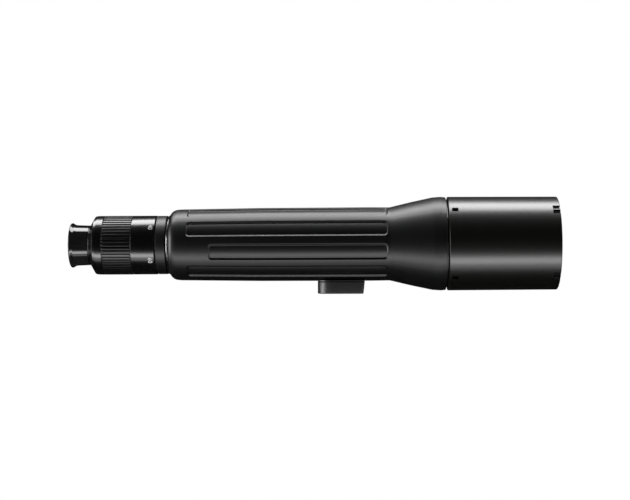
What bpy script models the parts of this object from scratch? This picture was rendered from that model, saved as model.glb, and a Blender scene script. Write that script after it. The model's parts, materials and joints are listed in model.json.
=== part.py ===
"""A straight zoom spotting scope in rubber armour, built as separate pieces that fit and move.

The optical axis runs along +X, from the eye end to the objective. The origin is the middle of the
flat under the tripod foot. Sizes are in millimetres and MM turns them into metres.
"""
import math

import bmesh
import bpy

MM = 0.001

# Overall sizes that drive the rest
AXIS_HEIGHT = 40.0          # optical axis above the flat of the foot
EYE_END = -220.2            # rim of the eyecup
FRONT_END = 174.8           # front edge of the sunshade
TUBE_RADIUS = 27.0          # metal tube under the armour
HOOD_RADIUS = 37.95         # widest part, armour flare and sunshade
RING_RADIUS = 23.8          # zoom ring and its number band
COVER_RADIUS = 23.65        # focus cover, seal rings and the start of the armour
GAP = 0.3                   # clearance between pieces that seat on each other

# Zoom: one ring moves two lens groups through two helical slots
ZOOM_LOW = math.radians(-28.0)
ZOOM_HIGH = math.radians(112.0)
FRONT_GROUP_LEAD = 3.27     # mm of travel for each radian of the zoom ring
REAR_GROUP_LEAD = -2.46
FRONT_PIN_X = -174.0
REAR_PIN_X = -187.2
CAM_PIN = 1.2               # radius of a cam pin

# Focus: the ring turns a pin in the helical groove of a nut that slides
FOCUS_TURN = math.radians(60.0)
FOCUS_LEAD = 3.82
FOCUS_PIN_X = -145.7
FOCUS_PIN = 1.0
ROD_OFFSET = 20.5           # focus rods beside the axis
ROD_RADIUS = 1.5

# Eyecup: twists out along a helical groove
CUP_TURN = math.radians(120.0)
CUP_LEAD = 4.05
CUP_PIN_X = -200.9
CUP_PIN = 0.8

# Armour: its rounded rear shoulder, and the long panels sunk into each side
ARMOUR_REAR = -137.4
SHOULDER_ROUND = 5.4
PANELS = ((63.3, -123.5, -123.5), (25.8, -125.0, -125.0),     # centre angle above the horizontal,
          (-12.1, -123.5, -106.3), (-48.7, -123.5, -123.5))   # rear end on the left and the right side
PANEL_HALF_WIDTH = 11.5
PANEL_FRONT = 36.8
PANEL_FLOOR = 28.5
GRIP_RIBS = 54

# Tripod foot
FOOT_REAR = -18.6
FOOT_FRONT = 19.1
FOOT_HALF_WIDTH = 13.5
FOOT_TOP = 9.9
FOOT_EDGE = 0.9             # rounding of its edges
BOSS_BOTTOM = 9.4           # boss of the tube, let into the top of the foot
BOSS_TOP = 14.0
BOSS_LENGTH = 34.0
BOSS_WIDTH = 13.0
INSERT_X = -6.5
PIN_HOLE_X = 7.0
FOOT_SCREW_X = 14.5

# Sunshade: windows through its rear end, and shallow notches at its front edge
WINDOW_ANGLE = 47.0
NOTCH_FLOOR = 36.75

# Sides of a turned piece: what shows from outside is rounder than what is inside
OUTSIDE = 34
RINGS = 30
INSIDE = 20

for old in list(bpy.data.objects):
    bpy.data.objects.remove(old, do_unlink=True)

PARTS = bpy.data.collections.new("spotting_scope")
CUTTERS = bpy.data.collections.new("cutters")
bpy.context.scene.collection.children.link(PARTS)
bpy.context.scene.collection.children.link(CUTTERS)

AXIS = bpy.data.objects.new("optical_axis", None)
AXIS.location = (0.0, 0.0, AXIS_HEIGHT * MM)
AXIS.rotation_euler = (0.0, math.pi / 2, 0.0)
PARTS.objects.link(AXIS)


def material(name, colour, roughness, metallic=0.0, transmission=0.0):
    made = bpy.data.materials.new(name)
    made.use_nodes = True
    shader = made.node_tree.nodes["Principled BSDF"]
    shader.inputs["Base Color"].default_value = (*colour, 1.0)
    shader.inputs["Roughness"].default_value = roughness
    shader.inputs["Metallic"].default_value = metallic
    shader.inputs["Transmission Weight"].default_value = transmission
    return made


ARMOUR = material("armour_rubber", (0.020, 0.020, 0.021), 0.55)
GRIP = material("grip_rubber", (0.016, 0.016, 0.017), 0.60)
SATIN = material("satin_black", (0.022, 0.021, 0.020), 0.32, 0.3)
HOOD = material("hood_black", (0.024, 0.022, 0.020), 0.38, 0.2)
CUP = material("eyecup_rubber_black", (0.018, 0.018, 0.018), 0.28)
ANODISED = material("anodised_black", (0.015, 0.015, 0.016), 0.45, 0.6)
ALUMINIUM = material("machined_aluminium", (0.60, 0.61, 0.62), 0.35, 1.0)
BRASS = material("turned_brass", (0.70, 0.52, 0.24), 0.30, 1.0)
STEEL = material("bright_steel", (0.58, 0.58, 0.58), 0.28, 1.0)
PLASTIC = material("black_plastic", (0.020, 0.020, 0.020), 0.40)
BEAD = material("seal_rubber", (0.030, 0.030, 0.030), 0.22)
GLASS = material("coated_glass", (0.93, 0.97, 0.95), 0.02, 0.0, 1.0)


def place(obj, shade, along_axis, collection):
    if along_axis:
        obj.parent = AXIS
    if shade:
        obj.data.materials.append(shade)
    collection.objects.link(obj)
    if collection is CUTTERS:
        obj.hide_render = True
        obj.display_type = "WIRE"
    return obj


def turned(name, points, shade=None, steps=INSIDE, solid=False, at=None, collection=PARTS):
    """Turn a profile of (place along the axis, radius). A solid one starts and ends on the axis.

    With no place given it turns about the optical axis, else about an upright axis at (x, y, z).
    """
    ring = list(points)
    area = 0.0
    for (xa, ra), (xb, rb) in zip(ring, ring[1:] + ring[:1]):
        area += ra * xb - rb * xa
    if area > 0.0:
        ring.reverse()
    mesh = bpy.data.meshes.new(name)
    spots = [(radius * MM, 0.0, along * MM) for along, radius in ring]
    edges = [(i, i + 1) for i in range(len(spots) - 1)]
    if not solid:
        edges.append((len(spots) - 1, 0))
    mesh.from_pydata(spots, edges, [])
    obj = bpy.data.objects.new(name, mesh)
    turn = obj.modifiers.new("turn", "SCREW")
    turn.axis = "Z"
    turn.steps = steps
    turn.render_steps = steps
    turn.use_merge_vertices = True
    turn.merge_threshold = 0.00001
    if at is not None:
        obj.location = [value * MM for value in at]
    return place(obj, shade, at is None, collection)


def tube(name, start, end, inner, outer, shade=None, steps=INSIDE, collection=PARTS):
    return turned(name, [(start, inner), (start, outer), (end, outer), (end, inner)], shade, steps,
                  collection=collection)


def pin(name, x, low, high, radius, shade=None, y=0.0, base=AXIS_HEIGHT, steps=12,
        collection=PARTS):
    """An upright cylinder at x, from low to high above the base height."""
    points = [(low, 0.0), (low, radius), (high, radius), (high, 0.0)]
    return turned(name, points, shade, steps, True, (x, y, base), collection)


def box(name, size, centre, shade=None, tilt=0.0, collection=PARTS):
    mesh = bpy.data.meshes.new(name)
    block = bmesh.new()
    bmesh.ops.create_cube(block, size=1.0)
    bmesh.ops.scale(block, vec=[value * MM for value in size], verts=block.verts)
    block.to_mesh(mesh)
    block.free()
    obj = bpy.data.objects.new(name, mesh)
    obj.location = [value * MM for value in centre]
    obj.rotation_euler = (0.0, tilt, 0.0)
    return place(obj, shade, False, collection)


def extruded(name, outline, start, end, plane, shade=None, collection=PARTS):
    """Extrude a flat outline: plane XY goes up from start to end, plane XZ and YZ go across."""
    block = bmesh.new()
    corners = []
    for a, b in outline:
        spot = {"XY": (a, b, start), "XZ": (a, start, b), "YZ": (start, a, b)}[plane]
        corners.append(block.verts.new([value * MM for value in spot]))
    face = block.faces.new(corners)
    grown = bmesh.ops.extrude_face_region(block, geom=[face])
    step = (end - start) * MM
    shift = {"XY": (0, 0, step), "XZ": (0, step, 0), "YZ": (step, 0, 0)}[plane]
    moved = [item for item in grown["geom"] if isinstance(item, bmesh.types.BMVert)]
    bmesh.ops.translate(block, vec=shift, verts=moved)
    bmesh.ops.recalc_face_normals(block, faces=block.faces)
    mesh = bpy.data.meshes.new(name)
    block.to_mesh(mesh)
    block.free()
    return place(bpy.data.objects.new(name, mesh), shade, False, collection)


def sweep_rows(block, rows, inner, outer):
    """Close a block round the axis from rows of (angle, rear x, front x), angle about +X."""
    last = None
    for angle, rear, front in rows:
        ring = []
        for along, radius in ((rear, inner), (front, inner), (front, outer), (rear, outer)):
            spot = (-radius * math.sin(angle), radius * math.cos(angle), along)
            ring.append(block.verts.new([value * MM for value in spot]))
        if last is None:
            block.faces.new(ring)
        else:
            for i in range(4):
                j = (i + 1) % 4
                block.faces.new((last[i], last[j], ring[j], ring[i]))
        last = ring
    block.faces.new(last)


def wrapped_cutter(name, groups, inner, outer):
    """One cutter made of several blocks wrapped round the axis."""
    block = bmesh.new()
    for rows in groups:
        sweep_rows(block, rows, inner, outer)
    bmesh.ops.recalc_face_normals(block, faces=block.faces)
    mesh = bpy.data.meshes.new(name)
    block.to_mesh(mesh)
    block.free()
    return place(bpy.data.objects.new(name, mesh), None, True, CUTTERS)


def patch_rows(rear, front, middle, half, corner=0.0, radius=30.0, inner_steps=4):
    """Rows of a rounded patch, angles in degrees, its corner radius in mm at the given radius."""
    rows = []
    corner_angle = math.degrees(corner / radius)
    if corner > 0.0:
        for turn in (0.0, 45.0):
            lean = math.radians(turn)
            rows.append((-half + corner_angle * (1 - math.cos(lean)), corner * (1 - math.sin(lean))))
    flat = half - corner_angle
    for i in range(inner_steps + 1):
        rows.append((-flat + 2 * flat * i / inner_steps, 0.0))
    if corner > 0.0:
        for turn in (45.0, 0.0):
            lean = math.radians(turn)
            rows.append((half - corner_angle * (1 - math.cos(lean)), corner * (1 - math.sin(lean))))
    return [(math.radians(middle + angle), rear + inset, front - inset) for angle, inset in rows]


def helix_rows(pin_x, lead, low, high, half, middle=math.pi / 2, steps=10):
    """Rows of a helical slot that a pin at the top follows while its ring turns."""
    spare = half / 17.0
    rows = []
    for i in range(steps + 1):
        turn = low - spare + (high - low + 2 * spare) * i / steps
        along = pin_x + lead * turn
        rows.append((middle + turn, along - half, along + half))
    return rows


def cut(target, cutter, way="DIFFERENCE"):
    change = target.modifiers.new(cutter.name, "BOOLEAN")
    change.operation = way
    change.solver = "EXACT"
    change.object = cutter


def lens(name, rear, rear_bow, front, front_bow, radius):
    """A lens between two spherical faces. A bow above zero bulges outward by that much."""
    parts = 2
    points = []
    for i in range(parts + 1):
        height = radius * i / parts
        points.append((rear + rear_bow * (i / parts) ** 2, height))
    for i in range(parts, -1, -1):
        height = radius * i / parts
        points.append((front - front_bow * (i / parts) ** 2, height))
    return turned(name, points, GLASS, INSIDE, True)


# Metal tube: neck for the focus ring, rear cone, long tube, flare and front bore
main_tube = turned("main_tube", [
    (-149.6, 17.6), (-149.6, 20.6), (-136.8, 20.6), (-135.4, 21.2), (-128.9, TUBE_RADIUS),
    (40.3, TUBE_RADIUS), (74.8, 35.2), (85.0, 35.2), (85.0, 33.9), (72.0, 33.9),
    (39.9, 25.9), (-127.0, 25.9), (-133.5, 17.6)], ANODISED)
boss = box("boss_block", (BOSS_LENGTH, BOSS_WIDTH, BOSS_TOP - BOSS_BOTTOM),
           (0.0, 0.0, (BOSS_TOP + BOSS_BOTTOM) / 2), collection=CUTTERS)
cut(main_tube, boss, "UNION")
for side, place_x in (("rear", -FOOT_SCREW_X), ("front", FOOT_SCREW_X)):
    hole = pin("boss_hole_" + side, place_x, 8.8, 12.8, 1.8, base=0.0, collection=CUTTERS)
    cut(main_tube, hole)
arc_spare = 5.0
neck_slot = wrapped_cutter("neck_slot", [patch_rows(
    FOCUS_PIN_X - FOCUS_PIN - GAP, FOCUS_PIN_X + FOCUS_PIN + GAP, 90.0,
    math.degrees(FOCUS_TURN) + arc_spare, inner_steps=16)], 16.8, 21.6)
cut(main_tube, neck_slot)

# Rubber armour with its rounded shoulder, long panels and the opening for the foot
shoulder = []
for i in range(5):
    lean = math.radians(22.5 * i)
    shoulder.append((ARMOUR_REAR + SHOULDER_ROUND * (1 - math.cos(lean)),
                     COVER_RADIUS + SHOULDER_ROUND * math.sin(lean)))
armour = turned("rubber_armour", [(ARMOUR_REAR, 21.6)] + shoulder + [
    (-66.0, 29.6), (24.0, 29.8), (39.2, 29.7), (56.2, 33.7), (71.3, 36.85),
    (75.5, 37.65), (81.0, HOOD_RADIUS), (84.2, 37.75), (85.3, 37.0), (85.3, 35.6), (74.6, 35.6),
    (40.1, 27.4), (-129.0, 27.4)], ARMOUR, OUTSIDE)
recesses = []
for angle, left_rear, right_rear in PANELS:
    recesses.append(patch_rows(left_rear, PANEL_FRONT, angle, PANEL_HALF_WIDTH, 3.0))
    recesses.append(patch_rows(right_rear, PANEL_FRONT, 180.0 - angle, PANEL_HALF_WIDTH, 3.0))
cut(armour, wrapped_cutter("panel_recesses", recesses, PANEL_FLOOR, 33.0))
boss_way = box("boss_way", (BOSS_LENGTH + 0.8, BOSS_WIDTH + 0.8, 12.0), (0.0, 0.0, BOSS_BOTTOM - GAP + 6.0),
               collection=CUTTERS)
cut(armour, boss_way)

# Objective: barrel, two lenses with a spacer, and the ring that holds them
barrel = turned("objective_barrel", [
    (72.5, 31.9), (72.5, 33.5), (85.4, 33.5), (85.4, 35.3), (148.5, 35.3), (148.5, 34.5),
    (151.5, 34.5), (151.5, 35.3), (158.0, 35.3), (158.0, 33.7), (139.8, 33.7), (139.8, 31.9)], ANODISED)
lens("objective_rear_lens", 140.2, 0.0, 143.0, -3.5, 33.3)
tube("objective_spacer", 146.9, 147.6, 32.4, 33.3, BRASS)
lens("objective_front_lens", 144.4, 3.6, 156.5, 3.7, 33.3)
tube("objective_retaining_ring", 153.4, 156.2, 32.4, 33.4, ANODISED)

# Sunshade that slides forward over the barrel, and the ring that brakes it
hood = turned("sunshade_tube", [
    (86.3, 35.6), (86.3, 37.1), (87.2, HOOD_RADIUS), (173.4, 37.7), (174.4, 37.4),
    (FRONT_END, 36.7), (FRONT_END, 35.95), (87.9, 35.95), (87.9, 35.6)], HOOD, OUTSIDE)
windows = []
notches = []
for middle in (WINDOW_ANGLE, -WINDOW_ANGLE, 180.0 - WINDOW_ANGLE, 180.0 + WINDOW_ANGLE):
    windows.append(patch_rows(88.4, 93.5, middle, 3.1, inner_steps=1))
    for shift in (-3.9, 3.9):
        notches.append(patch_rows(169.3, 177.0, middle + shift, 2.6, inner_steps=1))
cut(hood, wrapped_cutter("hood_windows", windows, 34.0, 40.0))
cut(hood, wrapped_cutter("hood_notches", notches, NOTCH_FLOOR, 40.0))
tube("sunshade_brake_ring", 148.8, 151.2, 34.8, 35.6, GRIP)

# Inside the tube: a light baffle, and the prism pair in its carrier
tube("light_baffle", 29.0, 30.5, 20.0, 25.5, ANODISED)
carrier = tube("prism_carrier", -113.5, -111.9, 12.0, 25.4, ALUMINIUM)
cut(carrier, tube("carrier_front", -52.1, -50.5, 12.0, 25.4, collection=CUTTERS), "UNION")
for side in (-1.0, 1.0):
    rail = box("rail_%d" % side, (62.0, 4.0, 24.0), (-82.0, side * 13.5, AXIS_HEIGHT - 2.0),
               collection=CUTTERS)
    cut(carrier, rail, "UNION")
    rod_hole = turned("rod_way_%d" % side, [(-116.0, 0.0), (-116.0, 1.9), (-48.0, 1.9), (-48.0, 0.0)],
                      None, 12, True, collection=CUTTERS)
    rod_hole.location = (0.0, side * ROD_OFFSET * MM, 0.0)
    rod_hole.rotation_euler = (0.0, 0.0, 0.1)
    cut(carrier, rod_hole)
    screw_hole = pin("rail_hole_%d" % side, -82.0, 4.0, 12.0, 1.2, y=side * 13.7,
                     steps=12, collection=CUTTERS)
    cut(carrier, screw_hole)

PRISM = [(29.4, 5.97), (29.4, 18.0), (12.0, 18.0), (0.0, 11.0), (0.0, -11.0)]
roof_cutters = []
for side in (-1.0, 1.0):
    wedge = [(0.0, 18.0), (side * 14.0, 18.0 - 14.0), (side * 14.0, 24.0), (0.0, 24.0)]
    shape = [(y, z + AXIS_HEIGHT) for y, z in wedge]
    roof_cutters.append(extruded("roof_%d" % side, shape, -116.0, -48.0, "YZ", collection=CUTTERS))
for name, sign, origin in (("prism_rear", 1.0, -111.55), ("prism_front", -1.0, -52.45)):
    outline = [(origin + sign * x, z + AXIS_HEIGHT) for x, z in PRISM]
    prism = extruded(name, outline, -11.0, 11.0, "XZ", GLASS)
    for roof in roof_cutters:
        cut(prism, roof)

clamp_line = [(15.3, 10.4), (15.3, 11.2), (8.4, 11.2), (0.0, 19.6), (-8.4, 11.2), (-15.3, 11.2),
              (-15.3, 10.4), (-8.1, 10.4), (0.0, 18.5), (8.1, 10.4)]
clamp = extruded("prism_clamp", [(y, z + AXIS_HEIGHT) for y, z in clamp_line], -86.0, -78.0, "YZ", STEEL)
for side, name in ((-1.0, "prism_screw_right"), (1.0, "prism_screw_left")):
    way = pin("clamp_hole_%d" % side, -82.0, 9.0, 13.0, 1.2, y=side * 13.7, steps=12,
              collection=CUTTERS)
    cut(clamp, way)
    turned(name, [(5.0, 0.0), (5.0, 0.9), (11.5, 0.9), (11.5, 1.5), (12.5, 1.5), (12.5, 0.0)], STEEL,
           12, True, (-82.0, side * 13.7, AXIS_HEIGHT))

# Eyepiece tube: the straight guide for the zoom groups, with the eye tube behind it
eye_tube = turned("eyepiece_tube", [
    (-213.0, 11.5), (-213.0, 12.9), (-212.2, 12.9), (-212.2, 12.2), (-211.0, 12.2), (-211.0, 12.9),
    (-198.0, 12.9), (-198.0, 17.0), (-152.0, 17.0), (-152.0, 20.1), (-149.9, 20.1), (-149.9, 17.3),
    (-148.0, 17.3), (-148.0, 15.3), (-196.6, 15.3), (-196.6, 10.4), (-202.4, 10.4),
    (-202.4, 11.5)], ANODISED)
slots = []
for pin_x, lead in ((FRONT_PIN_X, FRONT_GROUP_LEAD), (REAR_PIN_X, REAR_GROUP_LEAD)):
    ends = sorted((pin_x + lead * ZOOM_LOW, pin_x + lead * ZOOM_HIGH))
    reach = CAM_PIN + GAP
    slots.append(patch_rows(ends[0] - reach, ends[1] + reach, 90.0, 5.6, inner_steps=2))
cut(eye_tube, wrapped_cutter("guide_slots", slots, 14.6, 17.2))
cup_groove = helix_rows(CUP_PIN_X, CUP_LEAD, -CUP_TURN, 0.0, CUP_PIN + GAP, steps=9)
cut(eye_tube, wrapped_cutter("cup_groove", [cup_groove], 12.1, 13.6))
lens("eye_lens", -209.4, 1.6, -203.0, 1.1, 11.1)
tube("eye_lens_ring", -211.3, -208.6, 9.6, 11.1, ANODISED)
tube("field_stop", -159.2, -157.9, 9.5, 14.9, ANODISED)
tube("index_ring", -150.3, -149.3, 20.95, 23.45, SATIN, RINGS)

# Zoom ring, its ribbed grip and the cam sleeve inside
zoom_ring = turned("zoom_ring", [
    (-205.7, 14.9), (-205.7, 15.8), (-203.3, 15.95), (-199.1, 23.1), (-197.6, 23.65),
    (-195.8, RING_RADIUS), (-192.6, RING_RADIUS), (-192.6, 22.0), (-169.1, 22.0),
    (-169.1, RING_RADIUS), (-150.6, RING_RADIUS), (-150.6, 20.6),
    (-198.6, 20.6), (-198.6, 14.9)], SATIN, RINGS)
cam = tube("zoom_cam_sleeve", -196.8, -152.6, 17.5, 20.2, ALUMINIUM)
helices = [helix_rows(FRONT_PIN_X, FRONT_GROUP_LEAD, ZOOM_LOW, ZOOM_HIGH, CAM_PIN + GAP),
           helix_rows(REAR_PIN_X, REAR_GROUP_LEAD, ZOOM_LOW, ZOOM_HIGH, CAM_PIN + GAP)]
cut(cam, wrapped_cutter("cam_slots", helices, 16.4, 21.2))
drive_way = pin("drive_way", -181.0, -24.0, -16.0, 1.5, steps=12, collection=CUTTERS)
cut(zoom_ring, drive_way)
cut(cam, drive_way)
pin("zoom_drive_screw", -181.0, -21.6, -17.9, 1.2, STEEL, steps=12)

rib_line = []
for rib in range(GRIP_RIBS):
    for part, radius in ((0.0, 22.9), (0.24, 22.9), (0.40, RING_RADIUS), (0.84, RING_RADIUS)):
        turn = 2 * math.pi * (rib + part) / GRIP_RIBS
        rib_line.append((radius * MM * math.cos(turn), radius * MM * math.sin(turn)))
bore_line = []
for i in range(RINGS):
    turn = -2 * math.pi * i / RINGS
    bore_line.append((22.3 * MM * math.cos(turn), 22.3 * MM * math.sin(turn)))
grip_curve = bpy.data.curves.new("zoom_grip", "CURVE")
grip_curve.dimensions = "2D"
grip_curve.fill_mode = "BOTH"
grip_curve.extrude = 11.6 * MM
for line in (rib_line, bore_line):
    spline = grip_curve.splines.new("POLY")
    spline.points.add(len(line) - 1)
    for point, (a, b) in zip(spline.points, line):
        point.co = (a, b, 0.0, 1.0)
    spline.use_cyclic_u = True
grip = bpy.data.objects.new("zoom_grip", grip_curve)
grip.location = (0.0, 0.0, -180.85 * MM)
place(grip, GRIP, True, PARTS)

# Zoom lens groups, each with a pin through the guide slot into the cam sleeve
for name, pin_x, rear, front, bows in (
        ("zoom_front", FRONT_PIN_X, -178.0, -170.0, (1.8, 0.9)),
        ("zoom_rear", REAR_PIN_X, -190.5, -184.0, (0.6, 1.4))):
    cell = turned(name + "_cell", [
        (rear, 12.6), (rear, 14.9), (front, 14.9), (front, 11.4), (front - 1.0, 11.4),
        (front - 1.0, 12.6)], ALUMINIUM)
    way = pin(name + "_pin_way", pin_x, 13.5, 16.5, CAM_PIN + GAP, steps=12, collection=CUTTERS)
    cut(cell, way)
    lens(name + "_lens", rear + 0.4, bows[0], front - 1.4, bows[1], 12.2)
    pin(name + "_pin", pin_x, 13.8, 19.7, CAM_PIN, STEEL, steps=12)

# Eyecup: rubber on a hard sleeve, a guide pin, and the click ring it turns with
turned("eyecup_rubber", [
    (-206.6, 14.7), (-206.6, 15.9), (-214.8, 16.3), (-218.1, 17.9), (-219.5, 17.5), (EYE_END, 16.4),
    (EYE_END, 15.2), (-217.2, 13.2), (-217.2, 14.7)], CUP, RINGS)
sleeve = tube("eyecup_sleeve", -216.9, -199.5, 13.4, 14.4, PLASTIC)
cup_way = pin("cup_pin_way", CUP_PIN_X, 12.8, 15.0, CUP_PIN + 0.25, steps=12, collection=CUTTERS)
cut(sleeve, cup_way)
pin("eyecup_pin", CUP_PIN_X, 12.4, 14.3, CUP_PIN, STEEL, steps=12)
tube("eyecup_click_ring", -211.95, -211.25, 12.5, 13.0, STEEL)

# Focus ring with its rubber cover, the brass sleeve that turns with it and the pin through both
focus_ring = tube("focus_ring", -148.9, -142.6, 20.9, 22.2, BRASS)
drive_sleeve = turned("focus_drive_sleeve", [
    (-147.6, 15.1), (-147.6, 17.3), (-128.4, 17.3), (-128.4, 22.0), (-126.2, 22.0),
    (-126.2, 15.1)], BRASS)
focus_pin_way = pin("focus_pin_way", FOCUS_PIN_X, 14.5, 24.0, FOCUS_PIN + GAP, steps=12,
                    collection=CUTTERS)
cut(focus_ring, focus_pin_way)
cut(drive_sleeve, focus_pin_way)
turned("focus_cover", [
    (-149.0, 22.5), (-149.0, 23.2), (-148.5, COVER_RADIUS), (-142.3, COVER_RADIUS),
    (-142.3, 22.5)], GRIP, RINGS)
pin("focus_drive_pin", FOCUS_PIN_X, 13.7, 22.0, FOCUS_PIN, STEEL, steps=12)
for name, rear, front in (("bead_ring_rear", -142.0, -139.9), ("bead_ring_front", -139.65, -137.7)):
    turned(name, [(rear, 20.9), (rear, 22.8), ((rear + front) / 2, COVER_RADIUS), (front, 22.8),
                  (front, 20.9)], BEAD, RINGS)

# Focus carriage: nut with a helical groove, two rods beside the prisms, and the focusing lens
nut = turned("focus_nut", [
    (-152.0, 12.6), (-152.0, 14.8), (-121.5, 14.8), (-121.5, 23.4), (-119.3, 23.4),
    (-119.3, 12.6)], PLASTIC)
groove = helix_rows(FOCUS_PIN_X, -FOCUS_LEAD, -FOCUS_TURN, FOCUS_TURN, FOCUS_PIN + GAP, steps=13)
cut(nut, wrapped_cutter("nut_groove", [groove], 13.3, 15.6))
lens_cell = turned("focus_lens_cell", [
    (-30.0, 17.4), (-30.0, 25.3), (-27.8, 25.3), (-27.8, 20.0), (-20.0, 20.0), (-20.0, 18.9),
    (-26.5, 18.9), (-26.5, 17.4)], PLASTIC)
for side, name in ((-1.0, "focus_rod_right"), (1.0, "focus_rod_left")):
    rod = turned(name, [(-121.2, 0.0), (-121.2, ROD_RADIUS), (-28.1, ROD_RADIUS), (-28.1, 0.0)],
                 ALUMINIUM, 12, True)
    rod.location = (0.0, side * ROD_OFFSET * MM, 0.0)
    for start, end, target in ((-123.0, -116.0, nut), (-32.0, -25.0, lens_cell)):
        way = turned("%s_way_%d" % (name, -start), [
            (start, 0.0), (start, ROD_RADIUS + 0.35), (end, ROD_RADIUS + 0.35), (end, 0.0)],
            None, 12, True, collection=CUTTERS)
        way.location = (0.0, side * ROD_OFFSET * MM, 0.0)
        way.rotation_euler = (0.0, 0.0, 0.1)
        cut(target, way)
lens("focus_lens", -26.1, 1.0, -21.4, 2.2, 18.5)

# Tripod foot: rounded plan and edges, a recess for the boss, and its holes
plan = []
for cx, cy, radius, first in ((FOOT_FRONT - 2.5, FOOT_HALF_WIDTH - 2.5, 2.5, 0.0),
                              (FOOT_REAR + 8.0, FOOT_HALF_WIDTH - 8.0, 8.0, 90.0),
                              (FOOT_REAR + 8.0, 8.0 - FOOT_HALF_WIDTH, 8.0, 180.0),
                              (FOOT_FRONT - 2.5, 2.5 - FOOT_HALF_WIDTH, 2.5, 270.0)):
    for i in range(5):
        turn = math.radians(first + 90.0 * i / 4)
        plan.append((cx + radius * math.cos(turn), cy + radius * math.sin(turn)))
foot = extruded("tripod_foot", plan, 0.0, FOOT_TOP, "XY", ANODISED)
edge = foot.modifiers.new("rounded_edges", "BEVEL")
edge.width = FOOT_EDGE * MM
edge.segments = 1
edge.limit_method = "ANGLE"
edge.angle_limit = math.radians(50.0)
cut(foot, boss_way)
slant = box("front_slant", (20.0, 40.0, 60.0), (FOOT_FRONT + 9.9, 0.0, FOOT_TOP), None,
            math.radians(6.4), CUTTERS)
cut(foot, slant)
cut(foot, pin("insert_hole", INSERT_X, -1.0, 8.2, 4.6, base=0.0, steps=16, collection=CUTTERS))
cut(foot, pin("twist_pin_hole", PIN_HOLE_X, -1.0, 6.0, 2.25, base=0.0, collection=CUTTERS))
for side, place_x in (("rear", -FOOT_SCREW_X), ("front", FOOT_SCREW_X)):
    way = turned("foot_way_" + side, [(-1.0, 0.0), (-1.0, 2.7), (5.0, 2.7), (5.0, 1.8), (13.0, 1.8),
                                      (13.0, 0.0)], None, 12, True, (place_x, 0.0, 0.0), CUTTERS)
    cut(foot, way)
    screw = turned("foot_screw_" + side, [(1.2, 0.0), (1.2, 2.4), (4.7, 2.4), (4.7, 1.4), (12.4, 1.4),
                                          (12.4, 0.0)], STEEL, 12, True, (place_x, 0.0, 0.0))
    cut(screw, pin("socket_" + side, place_x, 0.0, 3.4, 1.3, base=0.0, steps=6, collection=CUTTERS))
turned("foot_thread_insert", [(0.2, 3.1), (0.2, 4.3), (7.9, 4.3), (7.9, 3.1)], STEEL, 16,
       at=(INSERT_X, 0.0, 0.0))
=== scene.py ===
# %% [markdown]
# # A spotting scope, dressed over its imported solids
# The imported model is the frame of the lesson: every solid has its place, its body and its joint.
# Here each part that shows gets a finer mesh and a finish of its own, and rides on the same body,
# so that the scope can still zoom, focus, and slide its sunshade.

# %% Load the frame
import json
import math

import bmesh
import bpy
from mathutils import Euler, Matrix, Vector


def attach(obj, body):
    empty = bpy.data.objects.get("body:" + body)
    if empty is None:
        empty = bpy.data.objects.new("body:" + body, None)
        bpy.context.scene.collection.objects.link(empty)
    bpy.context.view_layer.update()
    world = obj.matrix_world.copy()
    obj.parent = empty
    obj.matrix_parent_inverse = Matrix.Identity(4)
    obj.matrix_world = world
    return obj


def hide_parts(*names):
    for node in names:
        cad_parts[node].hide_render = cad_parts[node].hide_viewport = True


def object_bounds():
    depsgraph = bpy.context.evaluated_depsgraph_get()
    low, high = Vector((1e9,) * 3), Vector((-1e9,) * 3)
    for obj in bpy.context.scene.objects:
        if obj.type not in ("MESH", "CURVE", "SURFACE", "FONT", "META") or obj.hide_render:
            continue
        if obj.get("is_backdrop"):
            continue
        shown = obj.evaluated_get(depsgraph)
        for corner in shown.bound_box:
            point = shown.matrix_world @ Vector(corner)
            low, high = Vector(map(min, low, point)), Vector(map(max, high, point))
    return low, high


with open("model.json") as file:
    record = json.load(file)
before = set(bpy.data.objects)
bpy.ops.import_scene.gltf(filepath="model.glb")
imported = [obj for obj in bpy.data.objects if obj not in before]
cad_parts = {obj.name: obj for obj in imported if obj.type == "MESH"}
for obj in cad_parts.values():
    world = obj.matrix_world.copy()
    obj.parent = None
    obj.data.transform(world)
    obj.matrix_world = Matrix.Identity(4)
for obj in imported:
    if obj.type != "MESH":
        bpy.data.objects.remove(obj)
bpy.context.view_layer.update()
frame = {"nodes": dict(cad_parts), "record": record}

# %% [markdown]
# ## Camera
# The picture is taken from the side, from a little over a metre: from there the rings bow as much
# as they do in the picture. The lens stands opposite the front half of the tube and is shifted
# sideways, as a view camera is, so that the whole scope is in the frame. The camera is rolled by
# about a quarter of a degree, because the tube climbs a little to the right. The object could be
# tilted instead, but it has to stay level, as its solids are.

# %% Camera
CAMERA_ALONG, CAMERA_BACK, CAMERA_HEIGHT = 0.015, 1.15, 0.03517
CAMERA_ROLL = math.radians(0.28)
LENS_MM, SENSOR_MM, LENS_SHIFT = 80.95, 36.0, -0.0710


def new_object(name, data):
    """Put a camera, lamp, mesh or text into the scene as an object."""
    item = bpy.data.objects.new(name, data)
    bpy.context.scene.collection.objects.link(item)
    return item


camera_data = bpy.data.cameras.new("portrait_camera")
camera_data.lens = LENS_MM
camera_data.sensor_width = SENSOR_MM
camera_data.shift_x = LENS_SHIFT
camera = new_object("portrait_camera", camera_data)
facing = Matrix.Rotation(CAMERA_ROLL, 4, "Y") @ Euler((math.pi / 2, 0, 0)).to_matrix().to_4x4()
camera.matrix_world = Matrix.Translation((CAMERA_ALONG, -CAMERA_BACK, CAMERA_HEIGHT)) @ facing
bpy.context.scene.camera = camera
bpy.context.scene.view_settings.view_transform = "Standard"
print("camera at", [round(value, 4) for value in camera.location])

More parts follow.
